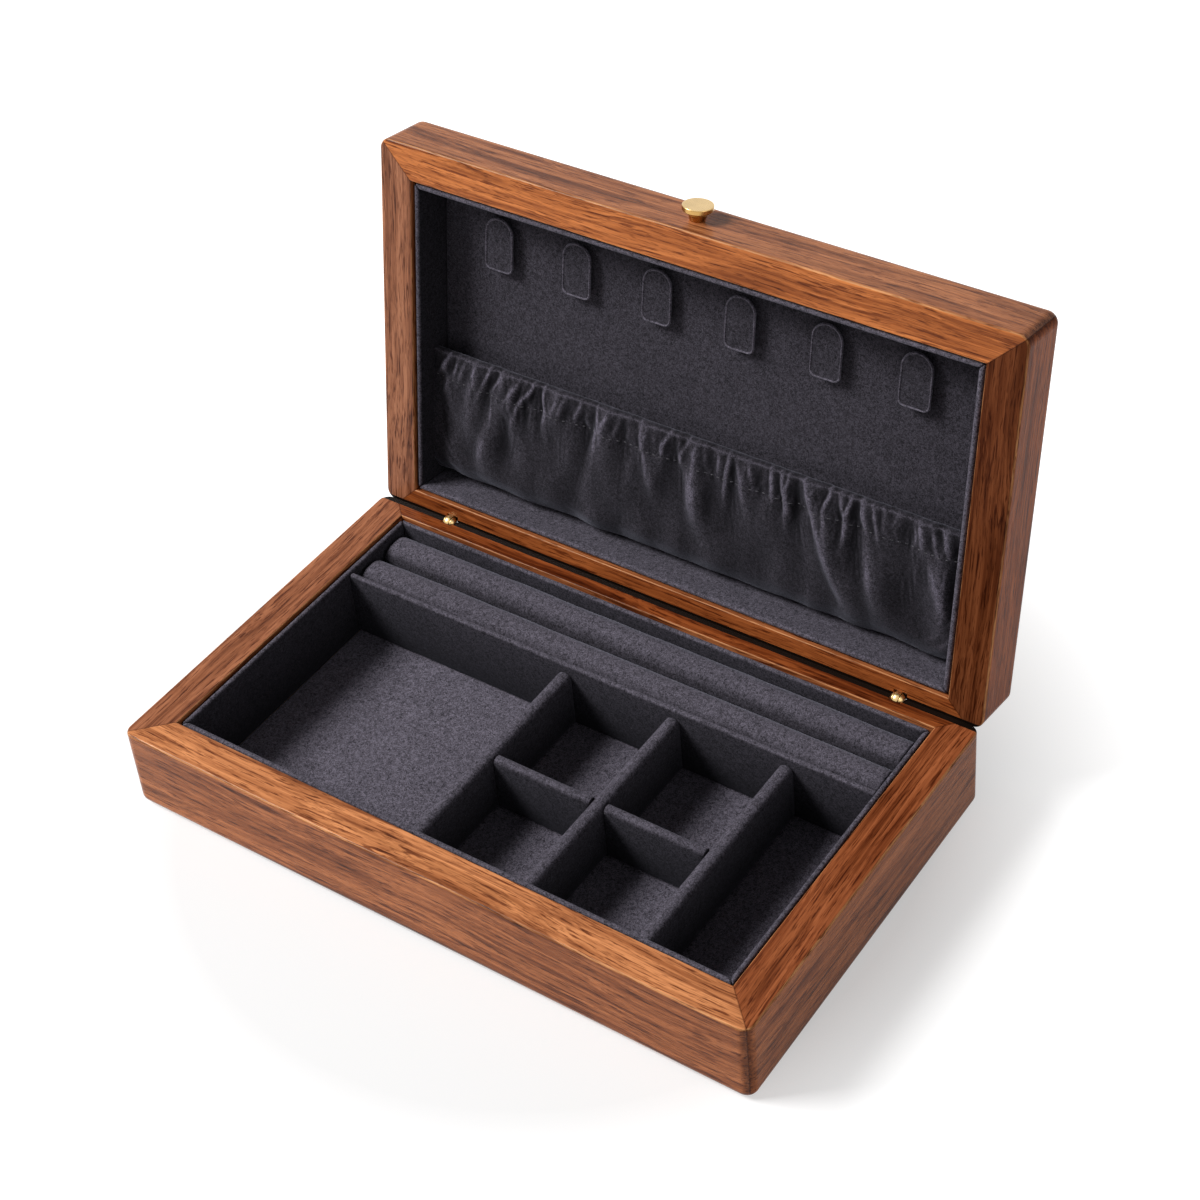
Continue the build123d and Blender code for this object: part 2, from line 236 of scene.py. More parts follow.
@dataclass(frozen=True)
class Walnut:
    """Oiled walnut, its grain along X once its place is turned."""

    name: str
    turn: Point = (0.0, 0.0, 0.0)
    shift: float = 0.0
    # Side and rim colours differ partly as the face grain does and partly as painted light and
    # shade.
    side: Colour = (0.56, 0.195, 0.071)
    rim: Colour = (0.5, 0.165, 0.056)
    mitres: Mitres | None = None
    gloss: float = 0.12
    # A pale peach colour on the rounded rim edges: a painted highlight.
    edge_highlight: Colour = (0.88, 0.46, 0.2)
    edge_highlight_share: float = 0.6
    # Darker rounded upright corners: painted shade.
    corner: Colour = (0.3, 0.24, 0.22)
    glue: Colour = (0.22, 0.15, 0.12)
    glue_width: tuple[float, float] = (0.00018, 0.0005)
    # Near black along the hinged rim edge where the halves meet: a painted shadow in the gap.
    gap_shadow: Colour = (0.006, 0.004, 0.003)
    gap_shadow_fade: float = 0.0002

    def material(self) -> bpy.types.Material:
        """Figure, veins, streaks, dashes, pores and a satin oil finish.

        Returns:
            The material.
        """
        t = NodeTable(bpy.data.materials.new(self.name))
        board = t.turned(self.turn, (self.shift, self.shift * 0.7, self.shift * 1.3))
        sway = {0: Grain(6.0, 26.0, 2.0, 0.55).read(t, board), 1: (0.0, 0.016, 0.016), 2: board}
        grain = t.add("ShaderNodeVectorMath", sway, operation="MULTIPLY_ADD").outputs["Vector"]
        figure = Grain(4.5, 105.0).read(t, grain)
        veins = Grain(8.0, 330.0).read(t, grain)
        lines = Grain(15.0, 760.0, rough=0.65).read(t, grain)
        dashes = Grain(60.0, 1250.0, 2.0).read(t, grain)
        pores = Grain(190.0, 2300.0, 1.0, 0.5).read(t, grain)
        figured = t.ramp(
            t.levels(figure, 0.3, 0.7, 0.0, 1.0),
            [
                (0.0, (0.42, 0.34, 0.29)), (0.3, (0.78, 0.73, 0.69)), (0.55, (1.0, 1.0, 1.0)),
                (0.8, (0.86, 0.84, 0.81)), (1.0, (0.56, 0.5, 0.44)),
            ],
        )
        colour = t.mixed("MULTIPLY", 1.0, self.tone(t), figured)
        pored = t.levels(pores, 0.58, 0.68, 0.0, 0.6)
        for share, tint in (
            (t.levels(veins, 0.53, 0.64, 0.0, 0.8), (0.4, 0.3, 0.25)),
            (t.levels(lines, 0.38, 0.6, 0.8, 0.0), (0.5, 0.4, 0.34)),
            (t.levels(dashes, 0.56, 0.64, 0.0, 0.9), (0.3, 0.2, 0.16)),
            (pored, (0.34, 0.25, 0.2)),
        ):
            colour = t.mixed("MULTIPLY", share, colour, tint)
        t.shade(
            Base_Color=self.jointed(t, colour), Roughness=t.levels(lines, 0.3, 0.7, 0.32, 0.22),
            Specular_IOR_Level=self.gloss,
        )
        t.bump(t.maths("SUBTRACT", lines, pored), 0.2, 0.00008)
        return t.owner

    def tone(self, t: NodeTable) -> Socket:
        """Warm rim and browner sides, partly face grain and partly painted light and shade; a pale
        painted highlight on the rim edges and painted shade on the upright corners.

        Args:
            t: the material's nodes.

        Returns:
            The colour socket.
        """
        towards = self.mitres.rim if self.mitres else (0.0, 0.0, 1.0)
        share = t.facing(towards, 0.62, 0.9)
        colour = t.ramp(share, [(0.0, self.side), (1.0, self.rim)])
        if self.mitres is None:
            return colour
        # Painted shade on the rounded upright corners.
        across = t.maths("ABSOLUTE", t.along(t.normal, (1.0, 0.0, 0.0)))
        along = t.maths("ABSOLUTE", t.along(t.normal, self.mitres.along))
        corner = t.levels(t.maths("MULTIPLY", across, along), 0.2, 0.48, 0.0, 0.6)
        shaded = t.mixed("MULTIPLY", corner, colour, self.corner)
        # Painted highlight along the rounded rim edges.
        edge = t.maths("MINIMUM", t.facing(towards, 0.25, 0.5), t.facing(towards, 0.97, 0.8))
        return t.mixed("MIX", t.maths("MULTIPLY", edge, self.edge_highlight_share), shaded, self.edge_highlight)

    def jointed(self, t: NodeTable, colour: Socket) -> Socket:
        """Adds the thin dark glue line of each mitre and a painted black shadow along the hinged
        edge.

        Args:
            t: the material's nodes.
            colour: the wood.

        Returns:
            The colour socket.
        """
        if self.mitres is None:
            return colour
        across = t.maths("ABSOLUTE", t.along(t.place, (1.0, 0.0, 0.0)))
        reach = t.along(t.place, self.mitres.along)
        front, back = (
            t.maths("ABSOLUTE", t.maths("SUBTRACT", t.maths(way, across, reach), joint))
            for way, joint in (("ADD", self.mitres.front), ("SUBTRACT", self.mitres.back))
        )
        line = t.levels(t.maths("MINIMUM", front, back), *self.glue_width, 0.6, 0.0)
        glued = t.mixed("MULTIPLY", line, colour, self.glue)
        # Painted black shadow along the hinged edge of the rim.
        start = self.mitres.gap_shade_band
        edge = t.levels(reach, start - self.gap_shadow_fade, start, 0.0, 1.0)
        gap_shadow = t.maths("MULTIPLY", edge, t.facing(self.mitres.rim, 0.1, 0.3))
        return t.mixed("MIX", gap_shadow, glued, self.gap_shadow)


# Painted light and shade on the pouch: dark in its hollows, lighter up its ridges.
CREST_SHADING = [
    (0.0, (0.18, 0.18, 0.19)), (0.5, (0.9, 0.9, 0.9)), (0.72, (1.5, 1.5, 1.5)),
    (1.0, (3.4, 3.4, 3.5)),
]


@dataclass(frozen=True)
class Suede:
    """Charcoal microfibre suede with a short felted nap."""

    name: str
    level: float = 1.0
    # Share of the colour kept on faces turned from the rim: painted shade on the sides.
    flank: float = 1.0
    rim: Point = (0.0, 0.0, 1.0)
    turn: float = 0.0
    sheen: float = 0.15
    # Heights in millimetres over which the colour darkens towards the foot colour at the bottom:
    # painted shade.
    deep: tuple[float, float] | None = None
    # Whether the cloth carries painted light and shade on its ridges and hollows.
    crest_lit: bool = False
    dark: Colour = (0.016, 0.0146, 0.018)
    light: Colour = (0.088, 0.0795, 0.1)
    fibre: float = 1150.0
    tuft: float = 460.0
    tuft_share: float = 0.16
    patch: float = 38.0
    speck: float = 70.0
    lint: Colour = (0.2, 0.19, 0.2)
    # Colour the boards darken towards at their bottom: painted shade.
    foot: Colour = (0.13, 0.13, 0.14)

    def material(self) -> bpy.types.Material:
        """Matted fibres, brushed patches, painted shade on the flanks and towards the foot, painted
        light and shade on the pouch's ridges, and stray lint.

        Returns:
            The material.
        """
        t = NodeTable(bpy.data.materials.new(self.name))
        nap = t.turned((0.0, 0.0, self.turn))
        fibre = t.noise(nap, self.fibre, 3.0, 0.75, 1.4)
        tuft = t.noise(nap, self.tuft, 3.0, 0.6, 0.6)
        brushed = t.noise(nap, self.patch, 2.0, 0.5, 0.8)
        fine = t.maths("MULTIPLY", fibre, 1.0 - self.tuft_share)
        mix = t.maths("ADD", fine, t.maths("MULTIPLY", tuft, self.tuft_share))
        cloth = t.ramp(t.levels(mix, 0.41, 0.61, 0.0, 1.0), [(0.0, self.dark), (1.0, self.light)])
        patched = t.mixed(
            "MULTIPLY", t.levels(brushed, 0.3, 0.7, 0.26, 0.0), cloth, (0.52, 0.52, 0.53)
        )
        # Lighter on faces towards the rim, darker on the sides: painted light and shade.
        top, side = ((share * self.level,) * 3 for share in (1.0, self.flank))
        shade = t.mixed("MIX", t.facing(self.rim, 0.25, 0.85), side, top)
        combed = t.mixed("MULTIPLY", 1.0, patched, shade)
        # Painted shade: darker towards the bottom of the boards.
        if self.deep:
            foot, upper = (height * MM for height in self.deep)
            depth = t.levels(t.along(t.place, (0.0, 0.0, 1.0)), foot, upper, 1.0, 0.0)
            combed = t.mixed("MULTIPLY", depth, combed, self.foot)
        # Painted light and shade from the cloth's ridges and hollows.
        if self.crest_lit:
            lift = t.add("ShaderNodeAttribute", {}, attribute_name="crest_light").outputs["Fac"]
            combed = t.mixed("MULTIPLY", 1.0, combed, t.ramp(lift, CREST_SHADING))
        specks = t.add("ShaderNodeTexVoronoi", {"Scale": self.speck, "Vector": nap}, feature="F1")
        lint = t.levels(specks.outputs["Distance"], 0.012, 0.024, 0.4, 0.0)
        t.shade(
            Base_Color=t.mixed("MIX", lint, combed, self.lint), Roughness=0.94,
            Specular_IOR_Level=0.1, Sheen_Weight=self.sheen, Sheen_Roughness=0.4,
            Sheen_Tint=(0.8, 0.82, 1.0),
        )
        t.bump(mix, 0.45, 0.0003)
        return t.owner


@dataclass(frozen=True)
class Brass:
    """Lacquered brass with fine turning marks."""

    name: str
    colour: Colour = (0.8, 0.57, 0.28)
    rough: float = 0.2
    brush: Point = (500.0, 1900.0, 1900.0)
    axis: Point | None = None
    # Darker colour of the turned sides round the axis: a painted dark reflection.
    side: Colour = (0.6, 0.5, 0.34)

    def material(self) -> bpy.types.Material:
        """Satin metal with faint brush marks, a slight tarnish, and a painted dark reflection round
        its turned sides.

        Returns:
            The material.
        """
        t = NodeTable(bpy.data.materials.new(self.name))
        cloud = t.noise(t.place, 160.0, 2.0)
        marks = t.mapped(t.turned((0.0, 0.0, 25.0)), Scale=self.brush)
        brush = t.noise(marks, 1.0, 3.0, 0.6)
        dull = tuple(c * 0.86 for c in self.colour)
        tone = t.ramp(t.levels(cloud, 0.35, 0.7, 0.0, 1.0), [(0.0, self.colour), (1.0, dull)])
        # Painted dark reflection: darker where the surface turns away from the axis.
        if self.axis:
            turned = t.levels(t.facing(self.axis, 0.3, 0.9), 0.0, 1.0, 1.0, 0.0)
            tone = t.mixed("MULTIPLY", turned, tone, self.side)
        satin = t.levels(brush, 0.3, 0.7, self.rough * 0.8, self.rough * 1.3)
        t.shade(Base_Color=tone, Roughness=satin, Metallic=1.0)
        return t.owner


@dataclass(frozen=True)
class TwoTone:
    """A finish of one even grain between two tones: baize, veneer, tape or thread."""

    name: str
    dark: Colour
    light: Colour
    cells: Point
    stops: tuple[float, float] = (0.3, 0.7)
    detail: float = 4.0
    rough: float = 0.6
    warp: float = 0.0
    roughness: float = 0.8
    gloss: float = 0.2
    sheen: float = 0.0
    relief: tuple[float, float] = (0.5, 0.0002)

    def material(self) -> bpy.types.Material:
        """Noise from the dark tone to the light one, with its relief.

        Returns:
            The material.
        """
        t = NodeTable(bpy.data.materials.new(self.name))
        cells = t.mapped(t.place, Scale=self.cells)
        grain = t.noise(cells, 1.0, self.detail, self.rough, self.warp)
        t.shade(
            Base_Color=t.ramp(grain, zip(self.stops, (self.dark, self.light))),
            Roughness=self.roughness, Specular_IOR_Level=self.gloss, Sheen_Weight=self.sheen,
        )
        t.bump(grain, *self.relief)
        return t.owner


BAIZE = TwoTone(
    "black_baize", (0.012, 0.012, 0.013), (0.05, 0.05, 0.052), (1400.0,) * 3, rough=0.7,
    warp=1.2, roughness=0.96, gloss=0.1, sheen=0.2, relief=(0.6, 0.0004),
)
PLY = TwoTone(
    "birch_ply", (0.42, 0.28, 0.16), (0.62, 0.46, 0.29), (14.0, 160.0, 160.0), warp=0.5,
    roughness=0.62, gloss=0.5, relief=(0.2, 0.0002),
)
THREAD = TwoTone(
    "black_thread", (0.03, 0.03, 0.034), (0.12, 0.115, 0.13), (1600.0, 300.0, 300.0),
    (0.35, 0.65), 2.0, 0.55,
)
TAPE = TwoTone(
    "elastic_tape", (0.012, 0.012, 0.014), (0.05, 0.05, 0.058), (1600.0, 300.0, 300.0),
    (0.35, 0.65), 2.0, 0.55,
)
HINGE_BRASS = (0.72, 0.51, 0.23)


# ---------------------------------------------------------------- places and meshes
@dataclass(frozen=True)
class Place:
    """A right-handed frame on one body: the row's own for the base, the leaf's own for the lid."""

    body: str
    matrix: Matrix

    def box(self, node: str) -> tuple[Vector, Vector]:
        """Lowest and highest corner of a CAD node in this frame.

        Args:
            node: the node's name.

        Returns:
            The two corners in millimetres.
        """
        points = [self.own(v.co) for v in frame["nodes"][node].data.vertices]
        low = Vector([min(p[i] for p in points) for i in range(3)])
        high = Vector([max(p[i] for p in points) for i in range(3)])
        return low, high

    def own(self, point: Vector) -> Vector:
        """A mesh's point in millimetres in this frame."""
        return self.matrix.inverted() @ point / MM

    def piece(
        self, name: str, points: Sequence[Point | Vector], faces: Sequence[Sequence[int]],
        finish: bpy.types.Material,
    ) -> bpy.types.Object:
        """Makes one smooth soft piece that rides on this place's body.

        Args:
            name: the piece's name.
            points: corners in millimetres, in this frame.
            faces: corner numbers of each face, counterclockwise seen from outside.
            finish: its material.

        Returns:
            The new object.
        """
        mesh = bpy.data.meshes.new(name)
        mesh.from_pydata([self.matrix @ (Vector(p) * MM) for p in points], [], faces)
        mesh.materials.append(finish)
        mesh.shade_smooth()
        mesh.update()
        made = bpy.data.objects.new(name, mesh)
        bpy.context.scene.collection.objects.link(made)
        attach(made, self.body)
        LOG.info("made %s with %d faces on %s", name, len(faces), self.body)
        return made


def band(low: int, high: int, count: int, closed: bool = True) -> list[list[int]]:
    """Faces between two rows of corners.

    Args:
        low: number of the first row's first corner.
        high: number of the second row's first corner.
        count: corners in each row.
        closed: whether the rows are rings.

    Returns:
        The corner numbers of each face.
    """
    steps = [(i, (i + 1) % count) for i in range(count if closed else count - 1)]
    return [[low + a, low + b, high + b, high + a] for a, b in steps]


# Turns at which a rounded edge is cut into strips, in degrees, and the largest share of a block
# that it takes.
EDGE_TURNS = (0.0, 30.0, 55.0, 75.0)
EDGE_SHARE = 0.49


def stations(low: float, high: float, edge: float, pitch: float) -> list[float]:
    """Places along one side of a block, close together where its edges are rounded.

    Args:
        low: start of the side.
        high: end of the side.
        edge: radius of the rounding.
        pitch: widest spacing.

    Returns:
        The places in order.
    """
    rise = [edge * (1.0 - math.cos(math.radians(a))) for a in EDGE_TURNS]
    count = max(1, round((high - low - 2 * edge) / pitch))
    flat = [low + edge + (high - low - 2 * edge) * i / count for i in range(count + 1)]
    return [low + r for r in rise] + flat + [high - r for r in reversed(rise)]


@dataclass
class CoveredBlock:
    """A board, strip or pad under cloth: rounded edges, crowned faces, laid by hand."""

    name: str
    low: Vector
    high: Vector
    edge: float | Point = 1.0
    pitch: float = 2.4
    crown: float = 0.0
    uneven: float = 0.06
    inset: float = 0.05
    mitres: tuple[Axis, Axis] | None = None
    mitre_room_high: bool = True
    seed: float = 0.0
    broad: float = 0.045
    broad_share: float = 0.7
    fine: float = 0.16
    sunk: float = 0.6

    def build(self, place: Place, finish: bpy.types.Material) -> bpy.types.Object:
        """Makes the block's closed mesh.

        Args:
            place: the frame its corners are given in.
            finish: its material.

        Returns:
            The new object.
        """
        low = self.low + Vector((self.inset,) * 3)
        high = self.high - Vector((self.inset,) * 3)
        wanted = self.edge if isinstance(self.edge, tuple) else (self.edge,) * 3
        edge = Vector([min(wanted[i], (high[i] - low[i]) * EDGE_SHARE) for i in range(3)])
        sides = [stations(low[i], high[i], edge[i], self.pitch) for i in range(3)]
        last = [len(side) - 1 for side in sides]
        numbers: dict[tuple[int, ...], int] = {}
        faces: list[list[int]] = []
        for fixed in range(3):
            one, two = (fixed + 1) % 3, (fixed + 2) % 3
            for end, i, j in product((0, last[fixed]), range(last[one]), range(last[two])):
                ring = [(i, j), (i + 1, j), (i + 1, j + 1), (i, j + 1)]
                if end == 0:
                    ring.reverse()
                face = []
                for a, b in ring:
                    key = [0, 0, 0]
                    key[fixed], key[one], key[two] = end, a, b
                    face.append(numbers.setdefault(tuple(key), len(numbers)))
                faces.append(face)
        points = [
            self.laid(Vector([side[step] for side, step in zip(sides, key)]), low, high, edge)
            for key in numbers
        ]
        return place.piece(self.name, points, faces, finish)

    def laid(self, p: Vector, low: Vector, high: Vector, edge: Vector) -> Vector:
        """Where one corner of the lattice lies on the covered block.

        Args:
            p: the corner on the plain block.
            low: the block's low corner.
            high: the block's high corner.
            edge: radius of the rounding along each axis.

        Returns:
            The rounded, crowned, uneven and mitred place.
        """
        core = Vector([min(max(p[i], low[i] + edge[i]), high[i] - edge[i]) for i in range(3)])
        out = Vector([(p[i] - core[i]) / edge[i] for i in range(3)]).normalized()
        off = [2.0 * (p[i] - low[i]) / (high[i] - low[i]) - 1.0 for i in range(3)]
        swell = math.prod(1.0 - off[i] ** 4 * (1.0 - abs(out[i])) for i in range(3))
        share = self.broad_share
        wobble = noise.noise(p * self.broad + Vector((self.seed, 3.1, 7.7))) * share
        wobble += noise.noise(p * self.fine + Vector((9.2, self.seed, 1.3))) * (1.0 - share)
        proud = self.crown * (swell - 1.0) + self.uneven * (wobble - self.sunk)
        spot = core + Vector([out[i] * (edge[i] + proud) for i in range(3)])
        if self.mitres:
            along, across = (axis.value for axis in self.mitres)
            room_high = self.mitre_room_high
            depth = spot[across] - low[across] if room_high else high[across] - spot[across]
            length = high[along] - low[along]
            place = (spot[along] - low[along]) / length
            spot[along] = low[along] + depth + place * (length - 2.0 * depth)
        return spot


def cover(
    place: Place, node: str, name: str, finish: bpy.types.Material,
    fill: float | None = None, **shape: object,
) -> None:
    """Puts a covered block in the room of a CAD node.

    Args:
        place: the frame of the block's sides.
        node: the node's name.
        name: the block's name.
        finish: its material.
        fill: how full it is stuffed, for a padded block; not used.
        shape: the block's other fields.
    """
    low, high = place.box(node)
    made = CoveredBlock(name, low, high, **shape).build(place, finish)
    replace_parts(made, node)


def line_walls(
    place: Place, half: str, start: str, room_high: tuple[str, str], seed: float,
    tones: dict[str, bpy.types.Material],
) -> None:
    """Covers the four liner boards of one half, mitred where they meet.

    Args:
        place: the half's own place.
        half: base or lid, as the nodes are named.
        start: start of each board's name.
        room_high: sides whose open room lies towards their high side.
        seed: what sets this half's unevenness.
        tones: the half's suedes.
    """
    for side in SIDES:
        axes = (Axis.Y, Axis.X) if side in ("left", "right") else (Axis.X, Axis.Y)
        cover(
            place, f"{half}_liner_{side}", f"{start}_{side}",
            tones["board_left" if side == "left" else "board"], edge=1.2, pitch=2.6,
            inset=0.04, mitres=axes, mitre_room_high=side in room_high, seed=len(side) * seed,
        )


def dress(nodes: Iterable[str], finish: bpy.types.Material) -> None:
    """Gives CAD nodes their material.

    Args:
        nodes: names of the nodes.
        finish: their material.
    """
    for node in nodes:
        slots = frame["nodes"][node].data.materials
        slots.clear()
        slots.append(finish)
        LOG.info("dressed %s with %s", node, finish.name)


def dress_rails(half: str, rails: dict[str, Walnut]) -> None:
    """Gives the rails of one half, base or lid, the wood of each side, each a copy made lighter or
    darker with painted light and shade.
    """
    for side, rail in rails.items():
        dress([f"{half}_{side}_rail"], replace(rail, name=f"{rail.name}_{side}").material())


class Hinged(Enum):
    """Which end of a frame's own Y holds the hinges."""

    HIGH_Y = 1.0
    LOW_Y = -1.0


def mitres_of(place: Place, half: str, hinged: Hinged, gap_shade_band: float) -> Mitres:
    """Finds the mitre planes of one frame from its packed rails.

    Args:
        place: the frame's own place.
        half: base or lid, as the nodes are named.
        hinged: the end of its Y with the hinges.
        gap_shade_band: width of the painted black shadow strip along the hinged edge of the rim.

    Returns:
        The rim's direction and the joints.
    """
    way = hinged.value
    inner_x = abs(place.box(f"{half}_right_rail")[0].x)
    front, back = (
        [corner.y * way for corner in place.box(f"{half}_{side}_rail")]
        for side in ("front", "back")
    )
    turn = place.matrix.to_3x3()
    along = turn @ Vector((0.0, way, 0.0))
    rim = turn @ Vector((0.0, 0.0, 1.0))
    start = place.matrix.translation.dot(along)
    return Mitres(
        tuple(rim), tuple(along), (inner_x + max(front)) * MM + start,
        (inner_x - min(back)) * MM - start, (max(back) - gap_shade_band) * MM + start,
    )


# ---------------------------------------------------------------- base
@dataclass
class TrayBase:
    """The lower half: walnut frame, lined tray, dividers and ring rolls."""

    place: Place
    divider_edge: float = 2.9
    divider_share: float = 0.47
    end_edge: float = 0.35
    roll_edge: Point = (2.2, 7.0, 5.6)
    # Width of the painted black shadow along the hinged rim edge.
    gap_shade_band: float = 2.4
    tones: dict[str, bpy.types.Material] = field(default_factory=dict)

    def build(self) -> None:
        """Makes all of the base's soft pieces."""
        board = Suede(
            "suede_tray_board", level=2.0, flank=0.43, turn=35.0, sheen=0.1, deep=(3.0, 33.0)
        )
        finishes = {
            "floor": Suede("suede_tray_floor", level=2.5),
            "board": board,
            # A darker copy for the left board, which faces away from the key lamp: painted shade.
            "board_left": replace(board, name="suede_tray_board_left", flank=0.34),
            # The rolls are lighter where they face up and back and darker on their front slopes:
            # painted light and shade.
            "roll": Suede(
                "suede_ring_roll", level=2.1, flank=0.36, rim=(0.0, 0.4, 0.917), turn=70.0
            ),
        }
        self.tones = {key: suede.material() for key, suede in finishes.items()}
        cover(
            self.place, "base_floor_pad", "tray_floor", self.tones["floor"], 0.9, edge=0.5,
            pitch=3.0, uneven=0.12,
        )
        line_walls(self.place, "base", "tray_liner", ("left", "front"), 1.7, self.tones)
        self.dividers()
        self.rolls()

    def dividers(self) -> None:
        """Covered divider boards with soft rounded tops."""
        names = ["long_divider", "divider_left", "divider_middle", "divider_right"]
        names += ["cross_divider_left", "cross_divider_right"]
        for number, node in enumerate(names):
            low, high = self.place.box(node)
            wide, deep = high.x - low.x, high.y - low.y
            edge = min(self.divider_edge, min(wide, deep) * self.divider_share)
            runs_x = wide > deep
            edges = (self.end_edge, edge, edge) if runs_x else (edge, self.end_edge, edge)
            cover(
                self.place, node, f"{node}_board", self.tones["board"], edge=edges, pitch=2.4,
                uneven=0.14, inset=0.03, seed=number * 2.3,
            )

    def rolls(self) -> None:
        """Two padded rolls that grip rings in the slit between them."""
        for number, node in enumerate(("ring_roll_front", "ring_roll_rear")):
            cover(
                self.place, node, f"{node}_pad", self.tones["roll"], 0.85,
                edge=self.roll_edge, pitch=2.6, crown=0.5, uneven=0.3, seed=number * 5.1,
            )

    def dress(self) -> None:
        """Gives the base's wood, brass and underside their finishes."""
        mitres = mitres_of(self.place, "base", Hinged.HIGH_Y, self.gap_shade_band)
        across = (0.0, 0.0, 90.0)
        wood = Walnut("walnut_base", mitres=mitres)
        # Each rail's rim and side colours follow how the light falls on it: painted light and shade
        # over the wood's tone.
        rails = {
            "front": replace(wood, shift=0.11, rim=(0.85, 0.34, 0.133)),
            "back": replace(wood, shift=0.57, rim=(0.34, 0.088, 0.022)),
            "left": replace(wood, turn=across, shift=0.93, rim=(0.47, 0.178, 0.083)),
            "right": replace(
                wood, turn=across, shift=1.31, rim=(0.43, 0.128, 0.045),
                side=(0.49, 0.162, 0.055), gloss=0.06,
            ),
        }
        dress_rails("base", rails)
        dress(["base_mitre_splines"], Walnut("walnut_base_spline", shift=1.9).material())
        dress(["base_bottom_panel"], PLY.material())
        dress(["underside_baize"], BAIZE.material())
        brass = Brass("brass_hinge", HINGE_BRASS, rough=0.3).material()
        for side in ("left", "right"):
            dress([f"hinge_lower_leaf_{side}", f"hinge_pin_{side}"], brass)


# ---------------------------------------------------------------- lid
# A tab's rolled edge, from its back to its middle: millimetres in from the outline, share of the
# tab's thickness. The welt shows between the two rings numbered in TAB_WELT.
TAB_RINGS = [
    (0.4, 0.0), (0.1, 0.14), (0.0, 0.4), (0.0, 0.68), (0.1, 0.88), (0.3, 1.0), (0.55, 0.99),
    (0.8, 0.8), (1.3, 0.74), (3.2, 0.78), (5.2, 0.8),
]
TAB_WELT = (2, 7)


@dataclass
class ChainTab:
    """One arch-topped hook tab: a thin covered plate held off the backing at its foot."""

    name: str
    low: Vector
    high: Vector
    foot_round: float = 2.6
    arc_steps: int = 14
    foot_steps: int = 4

    def outline(self) -> list[tuple[float, float]]:
        """The plate's edge, counterclockwise seen from the room.

        Returns:
            Points across and along the lid.
        """
        half = (self.high.x - self.low.x) / 2
        middle = (self.high.x + self.low.x) / 2
        small = self.foot_round
        foot = self.low.y + small
        quarter = math.pi / 2
        edge = []
        for x, y, radius, start, sweep, steps in (
            (middle, self.high.y - half, half, 0.0, math.pi, self.arc_steps),
            (self.low.x + small, foot, small, math.pi, quarter, self.foot_steps),
            (self.high.x - small, foot, small, -quarter, quarter, self.foot_steps),
        ):
            for i in range(steps + 1):
                a = start + sweep * i / steps
                edge.append((x + radius * math.cos(a), y + radius * math.sin(a)))
        return edge

    def build(
        self, place: Place, finish: bpy.types.Material, welt: bpy.types.Material
    ) -> bpy.types.Object:
        """Makes the plate with rolled cloth edges.

        Args:
            place: the lid's frame.
            finish: its face's material.
            welt: its rolled edge's material, a lighter copy of the suede: a painted highlight.

        Returns:
            The new object.
        """
        edge = self.outline()
        middle = Vector(((self.low.x + self.high.x) / 2, (self.low.y + self.high.y) / 2))
        thick = self.high.z - self.low.z
        points: list[Point] = []
        for inset, rise in TAB_RINGS:
            for x, y in edge:
                reach = Vector((x, y)) - middle
                share = 1.0 - inset / max(reach.length, inset + 0.2)
                wobble = noise.noise(Vector((x * 0.3, y * 0.3, inset))) * 0.05
                points.append((
                    middle.x + reach.x * share, middle.y + reach.y * share,
                    self.low.z + thick * rise + wobble * (rise > 0.5),
                ))
        count = len(edge)
        faces = [list(reversed(range(count)))]
        last = (len(TAB_RINGS) - 1) * count
        for ring in range(0, last, count):
            faces += band(ring, ring + count, count)
        points.append((middle.x, middle.y, self.low.z + thick * TAB_RINGS[-1][1]))
        for i in range(count):
            faces.append([last + i, last + (i + 1) % count, len(points) - 1])
        made = place.piece(self.name, points, faces, finish)
        made.data.materials.append(welt)
        first, end = (1 + ring * count for ring in TAB_WELT)
        for polygon in made.data.polygons[first:end]:
            polygon.material_index = 1
        return made


def eased(share: float) -> float:
    """Smooth step from 0 to 1."""
    share = min(1.0, max(0.0, share))
    return share * share * (3.0 - 2.0 * share)


# A wrinkle's widening on its way down, the pace of its curl, its end in widths, and how steep its
# two sides are.
WIDENING = 0.6
CURL_PACE = 0.42
WRINKLE_END = 3.5
STEEP_SIDE, SHALLOW_SIDE = 1.5, 0.72


@dataclass(frozen=True)
class Wrinkle:
    """One ridge of gathered cloth that runs down from the mouth, widens and fades."""

    at: float
    lean: float
    start: float
    length: float
    rise: float
    width: float
    curl: float = 0.0

    def height(self, x: float, below: float) -> float:
        """How far it lifts the cloth.

        Args:
            x: place across the pouch.
            below: distance under the mouth.

        Returns:
            The lift in millimetres.
        """
        spread = self.width * (1.0 + WIDENING * below / (self.start + self.length))
        drift = self.lean * below + self.curl * math.sin(below * CURL_PACE + self.at)
        across = (x - self.at - drift) / spread
        if abs(across) > WRINKLE_END:
            return 0.0
        fade = 1.0 - eased((below - self.start) / self.length)
        steep = SHALLOW_SIDE if across > 0.0 else STEEP_SIDE
        return self.rise * fade * math.exp(-0.5 * (across * steep) ** 2)


